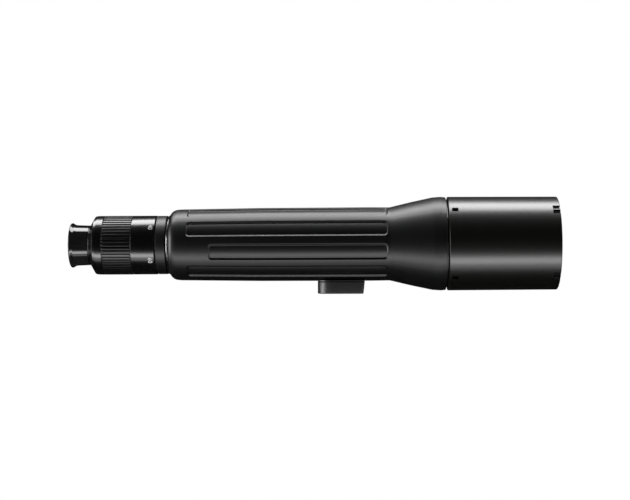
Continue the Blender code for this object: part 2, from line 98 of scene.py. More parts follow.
# %% [markdown]
# ## World
# The background is plain white paper. A large backdrop could be built, but a white world is simpler
# and looks the same from every side. Light Path tells which rays may see it at full strength: the
# camera, mirror reflections and glass. Soft light that bounces off rough surfaces gets less, so the
# lamps decide the shading.

# %% White world
BOUNCE_STRENGTH, WHITE_STRENGTH = 0.30, 1.0


def stretch(nodes, links, value, low, high, start=0.0, end=1.0):
    """A Map Range node: what runs from start to end comes out running from low to high."""
    step = nodes.new("ShaderNodeMapRange")
    step.inputs["From Min"].default_value = start
    step.inputs["From Max"].default_value = end
    step.inputs["To Min"].default_value = low
    step.inputs["To Max"].default_value = high
    links.new(value, step.inputs["Value"])
    return step


world = bpy.data.worlds.new("white_paper")
bpy.context.scene.world = world
world.use_nodes = True
paper, wires = world.node_tree.nodes, world.node_tree.links
paper["Background"].inputs["Color"].default_value = (1.0, 1.0, 1.0, 1.0)
seen_by = paper.new("ShaderNodeLightPath")
full_view = seen_by.outputs["Is Camera Ray"]
for ray in ("Is Glossy Ray", "Is Transmission Ray"):
    either = paper.new("ShaderNodeMath")
    either.operation = "MAXIMUM"
    wires.new(full_view, either.inputs[0])
    wires.new(seen_by.outputs[ray], either.inputs[1])
    full_view = either.outputs[0]
strength = stretch(paper, wires, full_view, BOUNCE_STRENGTH, WHITE_STRENGTH)
wires.new(strength.outputs[0], paper["Background"].inputs["Strength"])
print("world: white to camera, gloss and glass")

# %% [markdown]
# ## Floor
# The pale floor lies well below the scope, as the floor below a tripod does, and keeps its soft
# shadow. A square would show its edge, so it is a disc of dull paper whose alpha fades out towards
# the rim, and it melts into the white world.

# %% Dull paper
def dull_paper(name, rough, gloss, noise_scale, dark, pale):
    """Paper or card whose tone varies a little with its fibres."""
    paint = bpy.data.materials.new(name)
    paint.use_nodes = True
    nodes, links = paint.node_tree.nodes, paint.node_tree.links
    shader = nodes["Principled BSDF"]
    shader.inputs["Roughness"].default_value = rough
    shader.inputs["Specular IOR Level"].default_value = gloss
    fibre = nodes.new("ShaderNodeTexNoise")
    fibre.inputs["Scale"].default_value = noise_scale
    tone = stretch(nodes, links, fibre.outputs["Fac"], dark, pale)
    links.new(tone.outputs[0], shader.inputs["Base Color"])
    print("paper", name)
    return paint


floor_paper = dull_paper("floor_paper", 0.9, 0.2, 220.0, 0.86, 0.90)

# %% Pale floor
SCOPE_MIDDLE = -0.02
FLOOR_LEVEL, FLOOR_RADIUS = -0.30, 0.85
FADE_START, FADE_END = 0.35, 0.84
nodes, links = floor_paper.node_tree.nodes, floor_paper.node_tree.links
place = nodes.new("ShaderNodeTexCoord")
length = nodes.new("ShaderNodeVectorMath")
length.operation = "LENGTH"
links.new(place.outputs["Object"], length.inputs[0])
fade = stretch(nodes, links, length.outputs["Value"], 1.0, 0.0, FADE_START, FADE_END)
fade.interpolation_type = "SMOOTHSTEP"
links.new(fade.outputs[0], nodes["Principled BSDF"].inputs["Alpha"])
floor_mesh = bpy.data.meshes.new("floor")
disc = bmesh.new()
bmesh.ops.create_circle(disc, cap_ends=True, segments=96, radius=FLOOR_RADIUS)
disc.to_mesh(floor_mesh)
disc.free()
floor_mesh.materials.append(floor_paper)
floor = new_object("floor", floor_mesh)
floor.location = (SCOPE_MIDDLE, 0.0, FLOOR_LEVEL)
floor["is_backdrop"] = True
print("floor at", FLOOR_LEVEL, "m")

# %% [markdown]
# ## Lamps
# A black tube shows its lamps more than its colour. One long soft strip stands over the scope and
# slightly behind it, and draws the broad highlight along the top. A second, weaker one lies low in
# front and draws the line under the middle. A soft box at the left lights the edges that face the
# eye end, such as the seal rings and the armour's shoulder. An environment picture could light the
# scope too, but lamps are easier to place one highlight at a time.

# %% Lamps
MM = 0.001
AXIS_HEIGHT = 40.0
BOX_HEIGHT = 1.6 * AXIS_HEIGHT


def round_the_axis(elevation):
    """The way to a lamp at an angle round the optical axis, 0 in front and 90 overhead."""
    angle = math.radians(elevation)
    return Vector((0.0, -math.cos(angle), math.sin(angle)))


def round_the_scope(azimuth):
    """The way to a lamp at an angle from the camera's side, left below zero."""
    angle = math.radians(azimuth)
    return Vector((math.sin(angle), -math.cos(angle), 0.0))


def soft_lamp(name, away, distance, height_mm, size, power):
    """A soft rectangular lamp that faces the scope, and that the camera doesn't see."""
    lamp = bpy.data.lights.new(name, "AREA")
    lamp.shape = "RECTANGLE"
    lamp.size, lamp.size_y = size
    lamp.energy = power
    stand = new_object(name, lamp)
    stand.location = away * distance + Vector((SCOPE_MIDDLE, 0.0, height_mm * MM))
    stand.rotation_mode = "QUATERNION"
    stand.rotation_quaternion = away.to_track_quat("Z", "Y")
    stand.visible_camera = False
    print("lamp", name, [round(value, 3) for value in stand.location])


soft_lamp("overhead_strip", round_the_axis(101.5), 0.9, AXIS_HEIGHT, (1.5, 0.44), 21.5)
soft_lamp("low_front_strip", round_the_axis(-41.0), 0.42, AXIS_HEIGHT, (1.2, 0.10), 2.2)
soft_lamp("left_soft_box", round_the_scope(-82.0), 0.95, BOX_HEIGHT, (0.62, 0.60), 9.5)

# %% [markdown]
# ## Dark cards
# Between the lamps a glossy black tube would mirror the white world and turn grey. Photographers
# hang black cards there, and so does this scene: three are bent round the optical axis and two
# stand at the ends. A darker world would do the same, but the background would go dark with it.
# Only reflections see the cards, so they take no light away and throw no shadow.

# %% Dark cards
CARD_STEPS = 10
card_black = dull_paper("card_black", 1.0, 0.0, 90.0, 0.004, 0.010)


def hang_card(name, spots, quads):
    """Make a black card that only reflections see."""
    mesh = bpy.data.meshes.new(name)
    mesh.from_pydata(spots, [], quads)
    mesh.materials.append(card_black)
    card = new_object(name, mesh)
    card.visible_camera = False
    card.visible_diffuse = False
    card.visible_transmission = False
    card.visible_shadow = False
    card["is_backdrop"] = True
    print("card", name, "with", len(quads), "faces")


def bent_card(name, low, high, distance, half_length=1.1):
    """A card bent round the optical axis between two elevations."""
    spots = []
    for i in range(CARD_STEPS + 1):
        angle = math.radians(low + (high - low) * i / CARD_STEPS)
        y, z = -math.cos(angle) * distance, math.sin(angle) * distance + AXIS_HEIGHT * MM
        spots += [(-half_length, y, z), (half_length, y, z)]
    quads = [(2 * i, 2 * i + 1, 2 * i + 3, 2 * i + 2) for i in range(CARD_STEPS)]
    hang_card(name, spots, quads)


bent_card("front_card", -28.0, 86.0, 1.0, 1.9)
bent_card("back_card", 124.0, 202.0, 1.0)
bent_card("under_card", -160.0, -62.0, 0.30)

# %% End cards
END_CARD_NEAR, END_CARD_FAR = (1.25, 0.10), (0.95, 1.1)
END_CARD_LOW, END_CARD_HIGH = -0.25, 1.2
for side, name in ((-1.0, "left_card"), (1.0, "right_card")):
    near, far = [(side * x, y) for x, y in (END_CARD_NEAR, END_CARD_FAR)]
    spots = [(*near, END_CARD_LOW), (*far, END_CARD_LOW), (*far, END_CARD_HIGH), (*near, END_CARD_HIGH)]
    hang_card(name, spots, [(0, 1, 2, 3)])

# %% [markdown]
# ## Fillets
# Every real edge is a little round, and an edge without a fillet never catches the light. A Bevel
# modifier could round the finished mesh, but it knows nothing of the drawing. Here each corner of a
# profile has its own fillet, and the small ones, which hands rub, carry a wear value.

# %% Fillets
WORN_FILLET = 1.3  # fillets below this radius show wear
SIDE_SHARE = 0.49  # a fillet takes less than half of a side
STRAIGHT = 1e-4  # a corner flatter than this needs no fillet


def short_way(angle):
    """The same angle, between half a turn back and half a turn on."""
    return (angle + math.pi) % math.tau - math.pi


def soften(corners, steps=5):
    """Round the corners of a closed profile of (place, radius, fillet) into (place, radius, wear)."""
    line = []
    for i, (along, radius, fillet) in enumerate(corners):
        here = Vector((along, radius))
        before = Vector(corners[i - 1][:2]) - here
        after = Vector(corners[(i + 1) % len(corners)][:2]) - here
        back, on = before.normalized(), after.normalized()
        if fillet == 0.0 or abs(back.cross(on)) < STRAIGHT:
            line.append((along, radius, 0.0))
            continue
        half = before.angle(after) / 2
        reach = min(fillet / math.tan(half), SIDE_SHARE * before.length, SIDE_SHARE * after.length)
        bend = reach * math.tan(half)
        start, end = here + back * reach, here + on * reach
        middle = here + (back + on).normalized() * bend / math.sin(half)
        first = math.atan2(start.y - middle.y, start.x - middle.x)
        swing = short_way(math.atan2(end.y - middle.y, end.x - middle.x) - first)
        for k in range(steps + 1):
            turn = first + swing * k / steps
            worn = math.sin(math.pi * k / steps) if fillet < WORN_FILLET else 0.0
            line.append((middle.x + bend * math.cos(turn), middle.y + bend * math.sin(turn), worn))
    return line


print("fillets ready, worn below", WORN_FILLET, "mm")

# %% [markdown]
# ## The lathe
# Nearly every part of a scope is turned on a lathe, so it can be drawn as a profile and spun.
# Blender's Screw modifier does that; here the rings of points are written one by one, because then a
# rule can push single points in or out and make ribs, panels and threads in the same pass.

# %% Mesh pieces
SHARP_ANGLE = math.radians(35.0)
WELD = 1e-7  # points closer than this, in metres, become one


def mesh_piece(name, spots, faces, wear=None):
    """Make a closed mesh piece with its faces turned outward and its edges sharp past an angle."""
    mesh = bpy.data.meshes.new(name)
    mesh.from_pydata([[value * MM for value in spot] for spot in spots], [], faces)
    if wear is not None:
        mesh.attributes.new("edge_wear", "FLOAT", "POINT").data.foreach_set("value", wear)
    shell = bmesh.new()
    shell.from_mesh(mesh)
    bmesh.ops.remove_doubles(shell, verts=shell.verts, dist=WELD)
    bmesh.ops.recalc_face_normals(shell, faces=shell.faces)
    shell.to_mesh(mesh)
    shell.free()
    mesh.shade_smooth()
    mesh.set_sharp_from_angle(angle=SHARP_ANGLE)
    return new_object(name, mesh)


print("mesh pieces ready, sharp past", round(math.degrees(SHARP_ANGLE)), "degrees")

# %% Lathe
LATHE_SIDES = 144


def even(columns):
    """Angles in even steps round a full turn."""
    return [math.tau * i / columns for i in range(columns)]


def turned(name, profile, angles=None, rule=None, upright=None, closed=True):
    """Spin a profile of (place, radius, wear) round the optical axis, or round an upright line."""
    angles = angles or even(LATHE_SIDES)
    spots, wear = [], []
    for angle in angles:
        for along, radius, worn in profile:
            reach = rule(along, radius, angle) if rule else radius
            across, up = reach * math.cos(angle), reach * math.sin(angle)
            if upright is None:
                spots.append((along, across, AXIS_HEIGHT + up))
            else:
                spots.append((upright[0] + across, upright[1] + up, along))
            wear.append(worn)
    rows = len(profile)
    faces = []
    for i in range(len(angles)):
        a, b = i * rows, (i + 1) % len(angles) * rows
        for j in range(rows if closed else rows - 1):
            k = (j + 1) % rows
            faces.append((a + j, b + j, b + k, a + k))
    return mesh_piece(name, spots, faces, wear)


print("lathe ready,", LATHE_SIDES, "sides")

# %% [markdown]
# ## Cutting
# Windows, notches and pockets are milled into the real parts. They could be woven into the lathe's
# grid, but a Boolean modifier cuts them as the mill does and leaves the rest of the grid alone. The
# result is copied into the piece and the cutters are thrown away, so that one plain mesh is kept.

# %% Cutting
def settle(piece):
    """Bake the modifiers into the piece's mesh."""
    graph = bpy.context.evaluated_depsgraph_get()
    shaped = bpy.data.meshes.new_from_object(piece.evaluated_get(graph), depsgraph=graph)
    piece.modifiers.clear()
    piece.data = shaped
    shaped.shade_smooth()
    shaped.set_sharp_from_angle(angle=SHARP_ANGLE)


def carve(piece, *cutters):
    """Cut the cutters out of the piece and throw them away."""
    for cutter in cutters:
        change = piece.modifiers.new(cutter.name, "BOOLEAN")
        change.operation = "DIFFERENCE"
        change.solver = "EXACT"
        change.object = cutter
    settle(piece)
    for cutter in cutters:
        bpy.data.objects.remove(cutter, do_unlink=True)


print("cutting ready")

# %% Blocks to cut with
BLOCK_STEPS = 3


def wrapped_blocks(name, patches, inner, outer):
    """Blocks wrapped round the axis, each (rear, front, middle angle, half angle) in mm and degrees."""
    spots, faces = [], []
    for rear, front, middle, half in patches:
        for i in range(BLOCK_STEPS + 1):
            angle = math.radians(middle - half + 2 * half * i / BLOCK_STEPS)
            base = len(spots)
            for along, radius in ((rear, inner), (front, inner), (front, outer), (rear, outer)):
                spots.append((along, radius * math.cos(angle), AXIS_HEIGHT + radius * math.sin(angle)))
            if i == 0:
                faces.append((base, base + 1, base + 2, base + 3))
            else:
                for j in range(4):
                    k = (j + 1) % 4
                    faces.append((base - 4 + j, base - 4 + k, base + k, base + j))
            if i == BLOCK_STEPS:
                faces.append((base + 3, base + 2, base + 1, base))
    return mesh_piece(name, spots, faces)


def plain_block(name, size, centre):
    """A straight block, by its size and its centre."""
    spots = [[centre[n] + size[n] * (s[n] - 0.5) for n in range(3)]
             for s in ((x, y, z) for x in (0, 1) for y in (0, 1) for z in (0, 1))]
    faces = [(0, 1, 3, 2), (4, 6, 7, 5), (0, 4, 5, 1), (2, 3, 7, 6), (0, 2, 6, 4), (1, 5, 7, 3)]
    return mesh_piece(name, spots, faces)


print("blocks ready,", BLOCK_STEPS, "steps round the axis")

# %% [markdown]
# ## Finishes
# Every finish starts from one Principled shader. Its colour, roughness and fine relief come from
# noise in the object's own coordinates. An unwrapped image would need a seam on every ring; noise
# has none, its grain has a real size in millimetres, and it stays put when a part turns.

# %% Finish kit
NOISE_LOW, NOISE_HIGH = 0.3, 0.7


def new_finish(name, **constants):
    """A material and its shader. Values that are the same all over go straight on the sockets."""
    finish = bpy.data.materials.new(name)
    finish.use_nodes = True
    shader = finish.node_tree.nodes["Principled BSDF"]
    for socket, value in constants.items():
        shader.inputs[socket.replace("_", " ")].default_value = value
    return finish, finish.node_tree.nodes, finish.node_tree.links, shader


def grain(nodes, links, per_mm, detail, along_axis=None):
    """Noise of so many features per mm. With along_axis it is drawn into rings round the tube."""
    place = nodes.new("ShaderNodeTexCoord")
    noise = nodes.new("ShaderNodeTexNoise")
    noise.inputs["Scale"].default_value = per_mm / MM
    noise.inputs["Detail"].default_value = detail
    if along_axis is None:
        links.new(place.outputs["Object"], noise.inputs["Vector"])
    else:
        squeeze = nodes.new("ShaderNodeVectorMath")
        squeeze.operation = "MULTIPLY"
        squeeze.inputs[1].default_value = (1.0, along_axis, along_axis)
        links.new(place.outputs["Object"], squeeze.inputs[0])
        links.new(squeeze.outputs[0], noise.inputs["Vector"])
    return noise.outputs["Fac"]


def spread(nodes, links, fac, low, high):
    """Stretch the middle of a noise, where most of its values lie, to a range."""
    return stretch(nodes, links, fac, low, high, NOISE_LOW, NOISE_HIGH).outputs[0]


print("finish kit ready")

# %% [markdown]
# ## Tones and relief
# A flat colour looks like paint from a tin, so each finish mixes two close tones. Corners carry the
# wear value of their fillet, and there a third, paler tone comes through in patches, as on edges
# that hands rub. The fine relief is bump: it is far too small to be modelled.

# %% Tones and relief
RUB_LEAST, RUB_MOST = 0.2, 0.9


def tinted(nodes, links, fac, dark, pale, worn=None):
    """Two tones mixed by noise, and a third on worn corners."""
    mix = nodes.new("ShaderNodeMix")
    mix.data_type = "RGBA"
    mix.inputs["A"].default_value = (*dark, 1.0)
    mix.inputs["B"].default_value = (*pale, 1.0)
    links.new(spread(nodes, links, fac, 0.0, 1.0), mix.inputs["Factor"])
    if worn is None:
        return mix.outputs["Result"]
    wear = nodes.new("ShaderNodeAttribute")
    wear.attribute_name = "edge_wear"
    rub = nodes.new("ShaderNodeMath")
    rub.operation = "MULTIPLY"
    links.new(wear.outputs["Fac"], rub.inputs[0])
    links.new(spread(nodes, links, fac, RUB_LEAST, RUB_MOST), rub.inputs[1])
    over = nodes.new("ShaderNodeMix")
    over.data_type = "RGBA"
    over.inputs["B"].default_value = (*worn, 1.0)
    links.new(mix.outputs["Result"], over.inputs["A"])
    links.new(rub.outputs[0], over.inputs["Factor"])
    return over.outputs["Result"]


def relief(nodes, links, shader, height, depth_mm):
    """Fine bumps of a real depth."""
    bump = nodes.new("ShaderNodeBump")
    bump.inputs["Strength"].default_value = 1.0
    bump.inputs["Distance"].default_value = depth_mm * MM
    links.new(height, bump.inputs["Height"])
    links.new(bump.outputs["Normal"], shader.inputs["Normal"])


print("tones and relief ready")

# %% [markdown]
# ## Rubbers and black metals
# The armour is moulded rubber, matt with a very fine stipple. The grip is a little glossier, the
# focus cover a little duller, and the seal rings shine. The eyecup is smooth rubber and mirrors its
# lamps. The sunshade is lacquered metal with a trace of brown in its black. The zoom ring is satin
# anodised and shows faint turning marks, made by squeezing the noise along the axis. The foot is
# anodised too and a little paler. All are black, so one recipe with different numbers makes them,
# and gloss, grain and tone tell them apart.

# %% Black recipe
CLOUD_PER_MM = 0.12
FINISHES = {}


def black_finish(slot, dark, pale, worn, rough, grain_per_mm, depth_mm, rings=None, **constants):
    """A black surface: two near-black tones, rough between two values, with a fine relief."""
    finish, nodes, links, shader = new_finish(slot + "_look", **constants)
    cloud = grain(nodes, links, CLOUD_PER_MM, 4.0)
    fine = grain(nodes, links, grain_per_mm, 2.0, rings)
    links.new(tinted(nodes, links, cloud, dark, pale, worn), shader.inputs["Base Color"])
    links.new(spread(nodes, links, fine, *rough), shader.inputs["Roughness"])
    relief(nodes, links, shader, fine, depth_mm)
    FINISHES[slot] = finish
    print("finish", slot)


# %% Rubbers
black_finish("armour_rubber", (0.0008, 0.0008, 0.0009), (0.0013, 0.0013, 0.0014), (0.008, 0.008, 0.0085),
             (0.35, 0.40), 5.0, 0.004, IOR=1.42)
black_finish("grip_rubber", (0.0008, 0.0008, 0.0007), (0.0013, 0.0013, 0.0012), (0.008, 0.008, 0.0075),
             (0.28, 0.33), 5.0, 0.004, IOR=1.48)
black_finish("cover_rubber", (0.0006, 0.0006, 0.0006), (0.0010, 0.0010, 0.0010), (0.006, 0.006, 0.006),
             (0.37, 0.42), 5.0, 0.004, IOR=1.45)
black_finish("seal_rubber", (0.0012, 0.0012, 0.0012), (0.0018, 0.0018, 0.0018), (0.008, 0.008, 0.008),
             (0.16, 0.21), 6.0, 0.002, IOR=2.0)
black_finish("eyecup_rubber_black", (0.005, 0.005, 0.005), (0.007, 0.007, 0.007), (0.010, 0.010, 0.010),
             (0.05, 0.09), 6.0, 0.001, IOR=1.52)

# %% Black metals, plastic and felt
black_finish("hood_black", (0.0008, 0.0007, 0.0005), (0.0014, 0.0012, 0.0009), (0.012, 0.011, 0.009),
             (0.28, 0.32), 4.0, 0.003, IOR=1.6)
black_finish("satin_black", (0.0008, 0.0008, 0.0008), (0.0013, 0.0013, 0.0013), (0.012, 0.012, 0.012),
             (0.19, 0.23), 3.0, 0.0008, 0.02, IOR=1.6)
black_finish("anodised_black", (0.0012, 0.0012, 0.0013), (0.0018, 0.0018, 0.0019), (0.012, 0.012, 0.012),
             (0.32, 0.40), 4.0, 0.004, 0.05, IOR=1.5)
black_finish("foot_anodised", (0.010, 0.010, 0.010), (0.014, 0.014, 0.014), (0.016, 0.016, 0.016),
             (0.32, 0.40), 4.0, 0.004, IOR=1.5)
black_finish("black_plastic", (0.0016, 0.0016, 0.0016), (0.0024, 0.0024, 0.0024), (0.008, 0.008, 0.008),
             (0.30, 0.38), 4.0, 0.006, IOR=1.48)
black_finish("flock", (0.0016, 0.0016, 0.0016), (0.0026, 0.0026, 0.0026), (0.0026, 0.0026, 0.0026),
             (0.90, 1.0), 3.0, 0.03, IOR=1.2)

# %% [markdown]
# ## Bright metals
# The inner parts are plain machined metal: full metallic, with ring-shaped tool marks in the
# roughness and the relief. Anisotropic gloss could stand for the marks, but noise squeezed along
# the axis shows them as they are.

# %% Bright metals
def bright_finish(slot, dark, pale, rough, rings):
    """A machined metal in two close tones, with tool marks."""
    finish, nodes, links, shader = new_finish(slot + "_look", Metallic=1.0)
    cloud = grain(nodes, links, 0.2, 3.0)
    marks = grain(nodes, links, 5.0, 2.0, rings)
    links.new(tinted(nodes, links, cloud, dark, pale), shader.inputs["Base Color"])
    links.new(spread(nodes, links, marks, *rough), shader.inputs["Roughness"])
    relief(nodes, links, shader, marks, 0.004)
    FINISHES[slot] = finish
    print("finish", slot)


bright_finish("machined_aluminium", (0.55, 0.56, 0.57), (0.64, 0.65, 0.66), (0.26, 0.38), 0.03)
bright_finish("turned_brass", (0.64, 0.46, 0.20), (0.74, 0.56, 0.27), (0.20, 0.32), 0.03)
bright_finish("bright_steel", (0.52, 0.52, 0.52), (0.62, 0.62, 0.61), (0.18, 0.30), 0.2)

# %% [markdown]
# ## Glass and print
# The lenses are clear glass with a coating that tints only what they mirror. Tinted glass would
# colour the view too, so the tint sits on the specular colour. The zoom numbers are printed in
# white ink, which is slightly uneven and never quite white.

# %% Glass and print
glass, nodes, links, shader = new_finish("coated_glass_look", Transmission_Weight=1.0, IOR=1.52,
                                         Specular_Tint=(0.12, 0.26, 0.17, 1.0))
haze = grain(nodes, links, 0.08, 3.0)
clear = tinted(nodes, links, haze, (0.93, 0.97, 0.95), (0.96, 0.98, 0.97))
links.new(clear, shader.inputs["Base Color"])
links.new(spread(nodes, links, haze, 0.0, 0.02), shader.inputs["Roughness"])
FINISHES["coated_glass"] = glass

white_print, nodes, links, shader = new_finish("white_print", IOR=1.45)
ink = grain(nodes, links, 2.5, 3.0)
links.new(tinted(nodes, links, ink, (0.34, 0.34, 0.34), (0.48, 0.48, 0.47)), shader.inputs["Base Color"])
links.new(spread(nodes, links, ink, 0.45, 0.6), shader.inputs["Roughness"])
relief(nodes, links, shader, ink, 0.01)
print("finishes:", sorted(FINISHES), "and", white_print.name)

# %% [markdown]
# ## Seating a piece
# A finished piece gets its material, rides on the body that carries it on the real scope, and hides
# the solid that it stands for. Each body is an empty that its pieces are parented to, so every
# piece goes through this one helper.

# %% Seat
def seat(piece, body, slot, *stands_for, finish=None):
    """Give a piece its finish, let it ride on its body, and hide the solids it stands for."""
    piece.data.materials.clear()
    piece.data.materials.append(finish or FINISHES[slot])
    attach(piece, body)
    if stands_for:
        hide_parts(*stands_for)
    print(piece.name, "rides on", body, "with", len(piece.data.polygons), "faces")


# %% [markdown]
# ## Rubber armour
# The armour is one thick moulding with eight long sunk panels, four on each side. It could be
# modelled flat and wrapped, but a lathe grid is simpler: rings and columns crowd together where a
# panel's edge will run, and a rule lowers the points inside the rounded outline. The wall of each
# panel is a smooth step, so its edge rolls over like rubber and catches a thin line of light, and
# its floor is very slightly cushioned, so that it fades from grey to black across its width.

# %% Armour outline
HOOD_RADIUS = 37.95
SHOULDER_REAR, SHOULDER_TOP, SHOULDER_RISE, SHOULDER_FADE = -138.3, 28.8, 5.2, 2.2
SHOULDER_STEPS = (0.4, 0.55, 0.8, 1.2, 1.7, 2.3, 3.0, 4.0, 5.5, 7.5, 10.0)
shoulder = [(SHOULDER_REAR + step, SHOULDER_TOP - SHOULDER_RISE * math.exp(-step / SHOULDER_FADE), 0.0)
            for step in SHOULDER_STEPS]
armour_line = soften([
    (SHOULDER_REAR + SHOULDER_STEPS[0], 23.1, 0.0), *shoulder, (-66.0, 29.6, 90.0), (24.0, 29.8, 60.0),
    (39.2, 29.65, 9.0), (56.2, 33.75, 60.0), (73.8, 37.5, 8.0), (80.4, HOOD_RADIUS, 8.0),
    (84.4, 37.6, 0.45), (84.4, 35.6, 0.0), (74.6, 35.6, 0.0), (40.1, 27.4, 0.0), (-129.0, 27.4, 0.0)], 8)
print("armour profile:", len(armour_line), "points")

# %% Panel plan
# Each panel: its angle above the left side, and its rear end on the left and on the right side.
PANELS = ((63.3, -122.6, -122.6), (25.8, -122.6, -122.6), (-12.1, -122.6, -104.6),
          (-48.7, -122.3, -122.3))
PANEL_HALF, PANEL_RADIUS = math.radians(11.5), 29.4
PANEL_FRONT = 37.1
panels = []
for centre, left_rear, right_rear in PANELS:
    panels.append((left_rear, centre))
    panels.append((right_rear, 180.0 - centre))
half_arc = PANEL_HALF * PANEL_RADIUS
print(len(panels), "panels,", round(2 * half_arc, 2), "mm wide")

# %% Armour columns
EDGE_STEPS = (-2.6, -1.8, -1.25, -0.85, -0.65, -0.45, -0.22, 0.0, 0.22, 0.45, 0.65, 0.85, 1.25, 1.8)
PLAIN_COLUMNS, COLUMN_GAP = 120, 0.022  # the gap, in radians, keeps plain columns off the edges
armour_angles = set()
for rear, centre in panels:
    for side in (-1, 1):
        for step in EDGE_STEPS:
            arc = side * (half_arc + step)
            armour_angles.add(round((math.radians(centre) + arc / PANEL_RADIUS) % math.tau, 5))
for plain in even(PLAIN_COLUMNS):
    if min(abs(short_way(plain - other)) for other in armour_angles) > COLUMN_GAP:
        armour_angles.add(plain)
armour_angles = sorted(armour_angles)
print("armour columns:", len(armour_angles))

# %% Armour rings
SKIN_RADIUS = 28.0  # what lies further out is the armour's skin
PLAIN_RINGS = {-90.0, -60.0, -30.0, 0.0, 12.0, 32.0}
RING_GAP = 0.05
panel_ends = {(rear, -1) for rear, centre in panels} | {(PANEL_FRONT, 1)}
extra_rings = sorted({round(end + sign * step, 3) for end, sign in panel_ends for step in EDGE_STEPS}
                     | PLAIN_RINGS)
armour_rows = []
for here, after in zip(armour_line, armour_line[1:] + armour_line[:1]):
    armour_rows.append(here)
    if here[1] > SKIN_RADIUS and after[1] > SKIN_RADIUS and after[0] > here[0]:
        for along in extra_rings:
            if here[0] + RING_GAP < along < after[0] - RING_GAP:
                share = (along - here[0]) / (after[0] - here[0])
                armour_rows.append((along, here[1] + share * (after[1] - here[1]), 0.0))
print("armour rings:", len(armour_rows))

# %% Armour panels
PANEL_SINK, PANEL_WALL, PANEL_PILLOW = 1.3, 1.7, 0.4
PANEL_REAR_BEND, PANEL_FRONT_BEND = 1.9, 2.8
PANEL_ZONE = (-130.0, PANEL_FRONT + 2.0)
BOSS_WAY, BOSS_WAY_CENTRE = (34.8, 13.8, 12.0), (0.0, 0.0, 15.1)


def smooth_step(share):
    """Ease from 0 to 1 without a corner at either end."""
    share = min(1.0, max(0.0, share))
    return share * share * (3 - 2 * share)


def sunk(along, radius, angle):
    """The radius of a point of the armour, lowered by a smooth step inside each panel's outline."""
    if radius < SKIN_RADIUS or not PANEL_ZONE[0] < along < PANEL_ZONE[1]:
        return radius
    for rear, centre in panels:
        turn = short_way(angle - math.radians(centre))
        middle, reach = (rear + PANEL_FRONT) / 2, (PANEL_FRONT - rear) / 2
        corner = PANEL_FRONT_BEND if along > middle else PANEL_REAR_BEND
        dx = abs(along - middle) - reach + corner
        ds = abs(turn) * PANEL_RADIUS - half_arc + corner
        gap = math.hypot(max(dx, 0.0), max(ds, 0.0)) + min(max(dx, ds), 0.0) - corner
        if gap < PANEL_WALL / 2:
            pillow = PANEL_PILLOW * max(0.0, 1 - (turn * PANEL_RADIUS / half_arc) ** 2)
            return radius - (PANEL_SINK - pillow) * smooth_step(0.5 - gap / PANEL_WALL)
    return radius


armour = turned("rubber_armour_skin", armour_rows, armour_angles, sunk)
carve(armour, plain_block("boss_way", BOSS_WAY, BOSS_WAY_CENTRE))
seat(armour, "scope_body", "armour_rubber", "rubber_armour")

# %% [markdown]
# ## Sunshade
# The sunshade is a lacquered tube that slides forward over the objective. Four small windows near
# its rear go right through the wall, and four pairs of shallow notches lie at its front edge. They
# could be dark paint on the tube, but a cut has real walls that catch light from any side.

# %% Sunshade
HOOD_CUTS = (45.4, -45.4, 134.6, 225.4)
CUT_HALF, NOTCH_SHIFT = 3.1, 3.75
CUT_INSIDE, NOTCH_FLOOR, CUT_OUTSIDE = 34.0, 36.75, 40.0
hood_line = soften([
    (86.0, 35.6, 0.0), (86.0, HOOD_RADIUS, 0.5), (173.25, 37.7, 20.0), (174.45, 37.65, 1.1),
    (174.45, 35.95, 0.35), (87.4, 35.95, 0.0), (87.4, 35.6, 0.0)], 6)
hood = turned("sunshade_shell", hood_line, even(192))
notch_middles = [middle + shift for middle in HOOD_CUTS for shift in (-NOTCH_SHIFT, NOTCH_SHIFT)]
windows = [(88.4, 93.5, middle, CUT_HALF) for middle in HOOD_CUTS]
notches = [(168.5, 177.0, middle, CUT_HALF) for middle in notch_middles]
carve(hood, wrapped_blocks("hood_windows", windows, CUT_INSIDE, CUT_OUTSIDE),
      wrapped_blocks("hood_notches", notches, NOTCH_FLOOR, CUT_OUTSIDE))
seat(hood, "sunshade", "hood_black", "sunshade_tube")

# %% [markdown]
# ## Notch shade pads and felt
# A dull black pad in each notch is painted shade: it stands in for the shade inside the notch, so
# that the notch stays dark under any light. Under the windows a band of black felt lies round the
# barrel, which the tube glides on. Both could be a darker spot in the lacquer, but as pieces of
# their own they have a felt finish and stay right when the tube slides.

# %% Notch shade pads and felt
PAD_HALF, PAD_BELOW, PAD_ABOVE = 3.05, 0.3, 0.15
# The pads are painted shade: dull black sheets that keep the notches dark.
pads = [(168.55, 173.85, middle, PAD_HALF) for middle in notch_middles]
notch_shade_pads = wrapped_blocks("sunshade_notch_pads", pads, NOTCH_FLOOR - PAD_BELOW, NOTCH_FLOOR + PAD_ABOVE)
seat(notch_shade_pads, "sunshade", "hood_black", finish=FINISHES["flock"])
felt_line = soften([(85.45, 35.2, 0.0), (85.45, 35.5, 0.12), (95.5, 35.5, 0.12), (95.5, 35.2, 0.0)], 3)
seat(turned("barrel_felt_band", felt_line), "scope_body", "anodised_black", finish=FINISHES["flock"])

# %% [markdown]
# ## Zoom ring
# One turned ring carries the cone next to the eyecup, a seat for the ribbed grip and the band with
# the numbers. Separate rings would need hidden joints, so it is a single profile, with small
# fillets where the real ring is chamfered.

